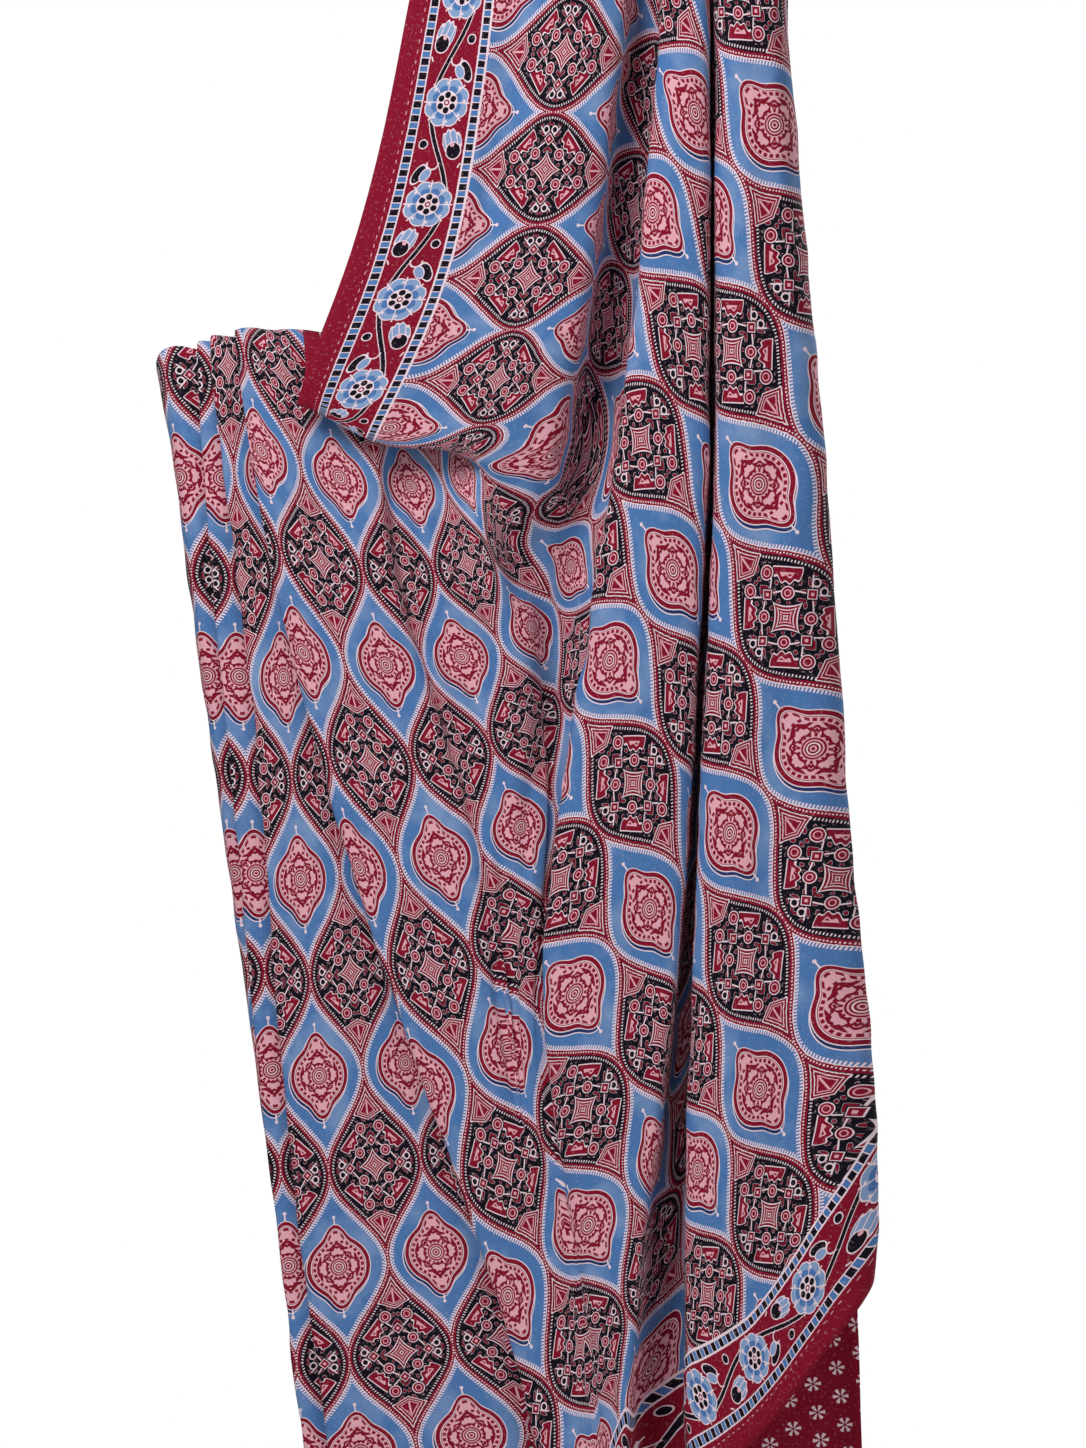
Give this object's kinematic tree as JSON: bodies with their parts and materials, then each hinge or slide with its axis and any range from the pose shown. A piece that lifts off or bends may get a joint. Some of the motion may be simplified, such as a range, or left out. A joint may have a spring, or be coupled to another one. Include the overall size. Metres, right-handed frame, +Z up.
{
  "type": "ajrakh block-printed saree cloth",
  "caption": "Long block-printed cloth hung in folds: narrow pleats at the left, a front panel rising to a shoulder fold, and a turned-under swag with a patterned border.",
  "frame": {"origin": "middle of the shoulder fold at the very top of the cloth, where it turns over the rail or shoulder that would hold it", "axes": "+Z up along the hanging cloth, +X to the viewer's right as seen from the front, -Y out of the printed front"},
  "size_m": [0.5589, 0.1086, 1.3739],
  "materials": {
    "printed_cloth": "matt woven cotton, block printed in indigo blue, madder red, ink black and pale pink"
  },
  "bodies": {
    "root": {"ajrakh_cloth": "printed_cloth"}
  },
  "joints": []
}
